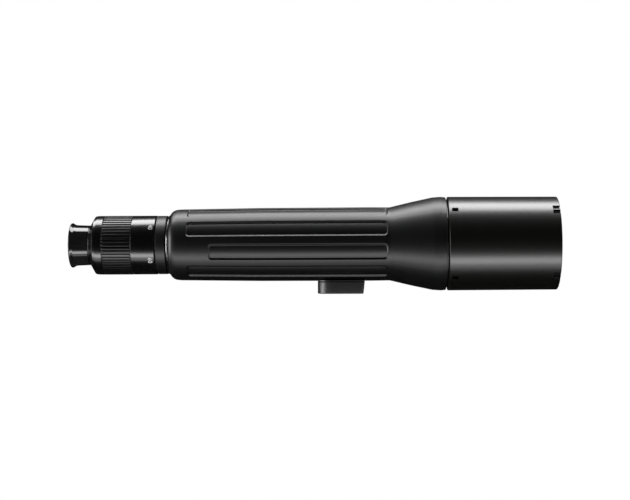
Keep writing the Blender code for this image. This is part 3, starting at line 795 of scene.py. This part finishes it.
# %% Zoom ring
RING_RADIUS = 23.8
zoom_line = soften([
    (-203.1, 14.9, 0.0), (-203.1, 15.95, 0.2), (-202.6, 16.05, 0.2), (-198.35, 23.35, 0.08),
    (-196.4, RING_RADIUS - 0.06, 3.0), (-191.15, RING_RADIUS, 0.3), (-191.15, 22.0, 0.0),
    (-167.75, 22.0, 0.0), (-167.75, RING_RADIUS, 0.3), (-149.15, RING_RADIUS, 0.2),
    (-149.15, 20.6, 0.0), (-198.6, 20.6, 0.0), (-198.6, 14.9, 0.0)])
seat(turned("zoom_ring_body_metal", zoom_line), "zoom_ring_body", "satin_black", "zoom_ring")

# %% [markdown]
# ## Ribbed grip
# A rubber sleeve with 54 straight ribs. One rib could be arrayed round the ring, but then the ribs
# and the sleeve would be loose from each other. The lathe's rule lifts the points of each rib and
# rolls its flanks and ends, so every rib has a rounded top edge and the sleeve is one skin.

# %% Grip rule
GRIP_RIBS, GRIP_PHASE = 54, math.radians(3.6)
GRIP_REAR, GRIP_FRONT = -191.0, -167.9
GRIP_INSIDE, GRIP_VALLEY, GRIP_SKIN, GRIP_TOP = 22.3, 22.95, 23.0, RING_RADIUS
RIB_FLANK, RIB_ROLL, RIB_CROWN, RIB_END = 0.40, 0.13, 0.05, 0.5


def ribbed(along, radius, angle):
    """The radius of a point of the grip: in a valley, on a flank or on a rib's crowned top."""
    if radius < GRIP_VALLEY:
        return radius
    part = ((angle - GRIP_PHASE) * GRIP_RIBS / math.tau) % 1.0
    flank = abs(part - 0.5)
    lift = smooth_step((RIB_FLANK - flank) / RIB_ROLL)
    crown = RIB_CROWN * (1 - (flank / RIB_FLANK) ** 2) if flank < RIB_FLANK else 0.0
    taper = min(1.0, max(0.0, min(along - GRIP_REAR, GRIP_FRONT - along) / RIB_END))
    rise = (GRIP_TOP - GRIP_VALLEY) * lift * math.sqrt(1 - (1 - taper) ** 2)
    return GRIP_VALLEY + rise + crown * taper


print("grip:", GRIP_RIBS, "ribs")

# %% Grip
RIB_PARTS = (0.0, 0.06, 0.1, 0.13, 0.17, 0.21, 0.25, 0.33, 0.5, 0.67, 0.75, 0.79, 0.83, 0.87, 0.9, 0.94)
END_INSETS = (0.0, 0.04, 0.12, 0.25, 0.5, 4.0)
grip_angles = [GRIP_PHASE + math.tau * (rib + part) / GRIP_RIBS
               for rib in range(GRIP_RIBS) for part in RIB_PARTS]
grip_rows = [(GRIP_REAR, GRIP_INSIDE, 0.0)]
grip_rows += [(GRIP_REAR + inset, GRIP_SKIN, 0.0) for inset in END_INSETS]
grip_rows += [(GRIP_FRONT - inset, GRIP_SKIN, 0.0) for inset in reversed(END_INSETS)]
grip_rows.append((GRIP_FRONT, GRIP_INSIDE, 0.0))
grip = turned("zoom_grip_ribs", grip_rows, grip_angles, ribbed)
seat(grip, "zoom_ring_body", "grip_rubber", "zoom_grip")

# %% [markdown]
# ## Zoom numbers
# Three powers are printed round the front of the band, 68.5 degrees apart, and read from the eye
# end. Blender's text could follow a curve, but then it stays flat across its height. Here the text
# becomes a mesh, its long edges are cut, and it is bent round the ring as a thin layer of ink.

# %% Flat text
CAPITAL_SHARE = 0.7  # the height of a digit as a share of the font's size
LONGEST_EDGE = 0.5
TEXT_WELD = 1e-5


def flat_text(name, words, height):
    """The words as a flat mesh in mm, with edges that are short enough to bend."""
    curve = bpy.data.curves.new(name, "FONT")
    curve.body = words
    curve.align_x = "CENTER"
    curve.size = height / CAPITAL_SHARE
    curve.resolution_u = 4
    flat = new_object(name, curve)
    graph = bpy.context.evaluated_depsgraph_get()
    mesh = bpy.data.meshes.new_from_object(flat.evaluated_get(graph), depsgraph=graph)
    bpy.data.objects.remove(flat, do_unlink=True)
    shell = bmesh.new()
    shell.from_mesh(mesh)
    bmesh.ops.remove_doubles(shell, verts=shell.verts, dist=TEXT_WELD)
    bmesh.ops.triangulate(shell, faces=shell.faces)
    for _ in range(3):
        long_edges = [edge for edge in shell.edges if edge.calc_length() > LONGEST_EDGE]
        bmesh.ops.subdivide_edges(shell, edges=long_edges, cuts=1)
        bmesh.ops.triangulate(shell, faces=shell.faces)
    return mesh, shell


print("flat text ready")

# %% Numbers
NUMBER_REAR, NUMBER_HEIGHT = -153.9, 3.5
INK_HALF = 0.03


def bent_text(name, words, along, angle, height, radius):
    """Print on the ring: the text's up is along the axis, and its line runs round the ring."""
    mesh, shell = flat_text(name, words, height)
    grown = bmesh.ops.extrude_face_region(shell, geom=list(shell.faces))
    top = {item for item in grown["geom"] if isinstance(item, bmesh.types.BMVert)}
    for vert in shell.verts:
        turn = math.radians(angle) + vert.co.x / radius
        reach = radius + (INK_HALF if vert in top else -INK_HALF)
        across, up = reach * math.cos(turn), reach * math.sin(turn)
        vert.co = ((along + vert.co.y) * MM, across * MM, (AXIS_HEIGHT + up) * MM)
    bmesh.ops.recalc_face_normals(shell, faces=shell.faces)
    shell.to_mesh(mesh)
    shell.free()
    return new_object(name, mesh)


for words, angle in (("20", 74.4), ("40", 142.9), ("60", 211.4)):
    number = bent_text("zoom_number_" + words, words, NUMBER_REAR, angle, NUMBER_HEIGHT, RING_RADIUS)
    seat(number, "zoom_ring_body", "satin_black", finish=white_print)

# %% [markdown]
# ## Index ring
# A fixed ring in front of the zoom ring carries a short white mark, which shows the power that is
# set. It lies low, and its dull flock finish is painted shade, so that it reads as the dark gap
# between two rings. The mark could be paint in the material; as a small block it stays sharp at
# any distance.

# %% Index ring
INDEX_RADIUS = 22.4
MARK_BELOW, MARK_ABOVE = 0.15, 0.06
index_line = soften([(-149.05, 20.95, 0.0), (-149.05, INDEX_RADIUS, 0.15), (-148.15, INDEX_RADIUS, 0.15),
                     (-148.15, 20.95, 0.0)], 3)
index_ring = turned("index_ring_metal", index_line)
# The flock finish on the ring is painted shade for the gap between the rings.
seat(index_ring, "scope_body", "satin_black", "index_ring", finish=FINISHES["flock"])
mark = wrapped_blocks("index_mark", [(-148.9, -148.3, 103.0, 1.6)],
                      INDEX_RADIUS - MARK_BELOW, INDEX_RADIUS + MARK_ABOVE)
seat(mark, "scope_body", "satin_black", finish=white_print)

# %% [markdown]
# ## Eyecup
# A smooth rubber cup with a flared rim, on a hard sleeve that twists it out. A subdivided cylinder
# would give soft curves too, but its size would shrink with each level. The rim is a soft closed
# curve, so its profile gets large fillets instead.

# %% Eyecup
cup_line = soften([
    (-203.4, 14.7, 0.0), (-203.4, 16.05, 0.3), (-213.2, 16.4, 4.0), (-215.2, 16.7, 2.5),
    (-217.5, 18.15, 0.8), (-218.5, 17.75, 0.6), (-218.5, 14.6, 0.9), (-215.6, 13.2, 0.4),
    (-215.6, 14.7, 0.0)], 7)
seat(turned("eyecup_soft", cup_line), "eyecup_body", "eyecup_rubber_black", "eyecup_rubber")
sleeve_line = soften([
    (-215.3, 13.4, 0.2), (-215.3, 14.4, 0.2), (-199.5, 14.4, 0.2), (-199.5, 13.4, 0.2)], 3)
seat(turned("eyecup_hard_sleeve", sleeve_line), "eyecup_body", "black_plastic", "eyecup_sleeve")

# %% [markdown]
# ## Focus cover
# In front of the index ring sits the narrow focus ring in its rubber cover. A cylinder with a Bevel
# modifier would come close, but the lathe gives its two edges a fillet each, with the wear of their
# neighbours. Its own dull finish does the rest.

# %% Focus cover
COVER_RADIUS = 23.65
cover_line = soften([(-148.05, 22.5, 0.0), (-148.05, COVER_RADIUS, 0.3), (-140.5, COVER_RADIUS, 0.25),
                     (-140.5, 22.5, 0.0)])
seat(turned("focus_cover_rubber", cover_line), "focus_ring_body", "grip_rubber", "focus_cover",
     finish=FINISHES["cover_rubber"])

# %% [markdown]
# ## Seal rings
# Two seal rings close the gap to the armour. The wide one has a sloping back that makes a bright
# upright line. The thin one is a small round bead on a stem and lies low against the armour's
# rounded shoulder, which makes the second line. Blender's torus could be the bead, but the stem
# would be a second mesh, so a half circle is drawn into the profile.

# %% Seal rings
SEAL_INSIDE = 20.9
wide_seal = soften([
    (-140.25, SEAL_INSIDE, 0.0), (-140.25, 22.7, 0.2), (-139.4, 23.5, 1.5), (-138.35, 24.05, 0.2),
    (-138.1, 23.8, 0.1), (-138.1, SEAL_INSIDE, 0.0)])
seat(turned("bead_ring_rear_round", wide_seal), "scope_body", "seal_rubber", "bead_ring_rear")
BEAD_REAR, BEAD_FRONT, BEAD_CREST, BEAD_STEPS = -138.0, -137.5, 22.9, 16
middle, half = (BEAD_REAR + BEAD_FRONT) / 2, (BEAD_FRONT - BEAD_REAR) / 2
thin_seal = [(BEAD_REAR, SEAL_INSIDE, 0.0)]
for i in range(BEAD_STEPS + 1):
    swing = math.pi * i / BEAD_STEPS
    thin_seal.append((middle - half * math.cos(swing), BEAD_CREST - half * (1 - math.sin(swing)), 0.0))
thin_seal.append((BEAD_FRONT, SEAL_INSIDE, 0.0))
seat(turned("bead_ring_front_round", thin_seal), "scope_body", "seal_rubber", "bead_ring_front")

# %% [markdown]
# ## Objective barrel
# Inside the sunshade the barrel holds two lenses and a retaining ring. It shows when the sunshade
# is out, and the ring shows from the front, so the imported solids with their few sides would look
# coarse. Both are turned again with many sides and small fillets.

# %% Objective barrel
barrel_line = soften([
    (72.5, 31.9, 0.0), (72.5, 33.5, 0.0), (85.4, 33.5, 0.0), (85.4, 35.3, 0.3), (148.5, 35.3, 0.2),
    (148.5, 34.5, 0.0), (151.5, 34.5, 0.0), (151.5, 35.3, 0.2), (158.0, 35.3, 0.5), (158.0, 33.7, 0.3),
    (139.8, 33.7, 0.0), (139.8, 31.9, 0.0)], 4)
seat(turned("objective_barrel_tube", barrel_line), "scope_body", "anodised_black", "objective_barrel")
retainer_line = soften([
    (153.4, 32.4, 0.15), (153.4, 33.4, 0.0), (156.2, 33.4, 0.15), (156.2, 32.4, 0.5)], 4)
retainer = turned("objective_retainer", retainer_line)
seat(retainer, "scope_body", "anodised_black", "objective_retaining_ring")

# %% [markdown]
# ## Lenses
# The two objective lenses and the eye lens are ground discs with bowed faces. Slices of a sphere
# would do, but a shallow parabola is the same within a hair and easier to write. The profile starts
# and ends on the axis, so it is spun open, and the points that meet there are welded.

# %% Lenses
LENS_PARTS = 14


def lens_line(rear, rear_bow, front, front_bow, radius):
    """A lens profile from the middle of its rear face, round the straight rim, to its front face."""
    shares = [i / LENS_PARTS for i in range(LENS_PARTS + 1)]
    line = [(rear + rear_bow * share ** 2, radius * share, 0.0) for share in shares]
    return line + [(front - front_bow * share ** 2, radius * share, 0.0) for share in reversed(shares)]


for name, node, shape in (
        ("objective_lens_front", "objective_front_lens", (144.4, 3.6, 156.5, 3.7, 33.3)),
        ("objective_lens_rear", "objective_rear_lens", (140.2, 0.0, 143.0, -3.5, 33.3)),
        ("eye_lens_glass", "eye_lens", (-209.4, 1.6, -203.0, 1.1, 11.1))):
    seat(turned(name, lens_line(*shape), closed=False), "scope_body", "coated_glass", node)

# %% [markdown]
# ## Eye lens ring
# A stepped black ring holds the eye lens at the bottom of the eyecup. A plain washer would hold it
# too, but the side that faces the eye slopes in towards the glass like a funnel, which is one
# sloping side of the profile.

# %% Eye lens ring
eye_ring_line = soften([
    (-213.45, 11.6, 0.3), (-213.45, 12.88, 0.15), (-213.05, 12.88, 0.0), (-213.05, 11.1, 0.0),
    (-208.6, 11.1, 0.0), (-208.6, 9.6, 0.2), (-211.6, 9.6, 0.3)], 4)
seat(turned("eye_lens_retainer", eye_ring_line), "scope_body", "anodised_black", "eye_lens_ring")

# %% [markdown]
# ## Tripod foot
# The foot is a short metal block screwed to a boss under the tube, with a rounded rear end and a
# front end that leans forward. A bevelled cube would have the same roll on every edge, but here the
# upper edge is rolled more than the lower. So the outline is stacked ring by ring, and the rings
# near an edge are drawn in to make the roll. At the two ends the upper roll is held back and a low
# neck goes on up, so that no light shows between the foot and the armour.

# %% Foot outline
FOOT_REAR, FOOT_FRONT, FOOT_HALF, FOOT_TOP = -19.1, 19.1, 13.5, 10.1
FOOT_REAR_BEND, FOOT_FRONT_BEND, BEND_STEPS = 11.5, 2.5, 12
foot_plan = []
for cx, cy, radius, first in (
        (FOOT_FRONT - FOOT_FRONT_BEND, FOOT_HALF - FOOT_FRONT_BEND, FOOT_FRONT_BEND, 0.0),
        (FOOT_REAR + FOOT_REAR_BEND, FOOT_HALF - FOOT_REAR_BEND, FOOT_REAR_BEND, 90.0),
        (FOOT_REAR + FOOT_REAR_BEND, FOOT_REAR_BEND - FOOT_HALF, FOOT_REAR_BEND, 180.0),
        (FOOT_FRONT - FOOT_FRONT_BEND, FOOT_FRONT_BEND - FOOT_HALF, FOOT_FRONT_BEND, 270.0)):
    for i in range(BEND_STEPS + 1):
        turn = math.radians(first + 90.0 * i / BEND_STEPS)
        foot_plan.append((cx, cy, radius, math.cos(turn), math.sin(turn)))
print("foot outline:", len(foot_plan), "points")

# %% Foot levels
FOOT_LOWER_ROLL, FOOT_UPPER_ROLL, FOOT_NECK = 0.7, 1.2, 0.8
LOWER_STEPS, UPPER_STEPS = 6, 4
FOOT_END_SHARE = 0.15  # how much of the upper roll is left at the two ends
foot_levels = []
for i in range(LOWER_STEPS + 1):
    lean = math.pi / 2 * i / LOWER_STEPS
    inset, height = FOOT_LOWER_ROLL * (1 - math.sin(lean)), FOOT_LOWER_ROLL * (1 - math.cos(lean))
    foot_levels.append((inset, height, 1.0))
for i in range(UPPER_STEPS + 1):
    lean = math.pi / 2 * i / UPPER_STEPS
    inset, drop = FOOT_UPPER_ROLL * (1 - math.cos(lean)), FOOT_UPPER_ROLL * (1 - math.sin(lean))
    foot_levels.append((inset, FOOT_TOP - drop, FOOT_END_SHARE))
foot_levels.append((FOOT_UPPER_ROLL, FOOT_TOP + FOOT_NECK, FOOT_END_SHARE))
print("foot levels:", len(foot_levels))

# %% Foot block
FOOT_LEAN = math.tan(math.radians(6.4))
FOOT_DRAWN_BACK = 0.1
spots, faces, wear = [], [], []
for inset, height, end_share in foot_levels:
    for cx, cy, radius, c, s in foot_plan:
        lean = FOOT_LEAN * (height - FOOT_TOP) - FOOT_DRAWN_BACK if cx > 0 else 0.0
        drawn = radius - inset * (end_share + (1 - end_share) * s * s)
        spots.append((cx + drawn * c + lean, cy + drawn * s, height))
        wear.append(1.0 if inset > 0.0 else 0.0)
ring = len(foot_plan)
for low in range(0, len(spots) - ring, ring):
    high = low + ring
    for i in range(ring):
        k = (i + 1) % ring
        faces.append((low + i, low + k, high + k, high + i))
faces.append(tuple(range(ring)))
faces.append(tuple(range(len(spots) - ring, len(spots))))
foot = mesh_piece("tripod_foot_block", spots, faces, wear)
print("foot block:", len(faces), "faces")

# %% [markdown]
# ## Foot recess and holes
# Into the foot go a recess for the boss, the way of the thread insert, a hole for a twist pin and
# two stepped holes for screws. On the real foot they are milled and drilled, so they are cut here
# in the same way, with a block and with turned drills.

# %% Foot recess and holes
DRILL_SIDES, DRILL_START = 48, -1.0
INSERT_X, PIN_X, SCREW_X = -6.5, 7.0, 14.5


def drill(name, x, *bores):
    """A drill for bores of (radius, depth) in the foot, which starts a little below it."""
    height = DRILL_START
    profile = [(height, 0.0, 0.0)]
    for radius, depth in bores:
        profile += [(height, radius, 0.0), (depth, radius, 0.0)]
        height = depth
    profile.append((height, 0.0, 0.0))
    return turned(name, profile, even(DRILL_SIDES), upright=(x, 0.0), closed=False)


cutters = [plain_block("boss_recess", BOSS_WAY, BOSS_WAY_CENTRE),
           drill("insert_way", INSERT_X, (4.6, 8.2)), drill("twist_pin_way", PIN_X, (2.25, 6.0))]
for x in (-SCREW_X, SCREW_X):
    cutters.append(drill("screw_way", x, (2.7, 5.0), (1.8, 13.0)))
carve(foot, *cutters)
seat(foot, "scope_body", "anodised_black", "tripod_foot", finish=FINISHES["foot_anodised"])

# %% [markdown]
# ## Thread insert
# The steel insert holds a quarter-inch tripod screw, 20 turns to the inch. Bump could draw the
# thread, but its outline would stay smooth. The bore's rings are pushed in and out by a rule that
# climbs one pitch for each turn, which makes a real helix.

# %% Thread insert
THREAD_PITCH, THREAD_DEPTH = 1.27, 0.55
INSERT_LOW, INSERT_HIGH = 0.2, 7.9
BORE_RADIUS, BORE_LIMIT, BORE_RINGS = 3.1, 3.5, 72
RUN_IN, RUN_OUT = 0.8, 0.5


def threaded(height, radius, angle):
    """The radius of a point of the insert: in the bore it follows the thread."""
    if radius > BORE_LIMIT:
        return radius
    phase = (height / THREAD_PITCH - angle / math.tau) % 1.0
    ease = min(1.0, (height - INSERT_LOW) / RUN_IN, (INSERT_HIGH - height) / RUN_OUT)
    return BORE_RADIUS + THREAD_DEPTH * max(0.0, ease) * abs(2 * phase - 1)


insert_line = [(INSERT_LOW, 3.75, 0.0), (INSERT_LOW, 4.1, 0.0), (INSERT_LOW + 0.2, 4.3, 0.0),
               (INSERT_HIGH, 4.3, 0.0)]
for i in range(BORE_RINGS + 1):
    insert_line.append((INSERT_HIGH - (INSERT_HIGH - INSERT_LOW) * i / BORE_RINGS, BORE_RADIUS, 0.0))
insert = turned("thread_insert_steel", insert_line, even(DRILL_SIDES), threaded, (INSERT_X, 0.0))
seat(insert, "scope_body", "bright_steel", "foot_thread_insert")

# %% [markdown]
# ## The solids that stay
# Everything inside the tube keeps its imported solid: prisms, cams, cells, pins and rods. They could
# be turned again too, but hardly anything of them shows. Each gets the finish of its slot. Their
# corners are real edges of machined parts, so they stay crisp.

# %% Finishes for the solids that stay
slot_of = {part["node"]: part["material_slot"] for part in frame["record"]["subparts"]}
kept = 0
for name, node in frame["nodes"].items():
    if node.hide_render:
        continue
    node.data.materials.clear()
    node.data.materials.append(FINISHES[slot_of[name]])
    kept += 1
print("solids kept:", kept)

# %% [markdown]
# ## Size
# The dressed scope has to stay the size of its solids. Its box is printed.

# %% Print the size
low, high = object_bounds()
print("size mm:", [round((b - a) / MM, 2) for a, b in zip(low, high)])
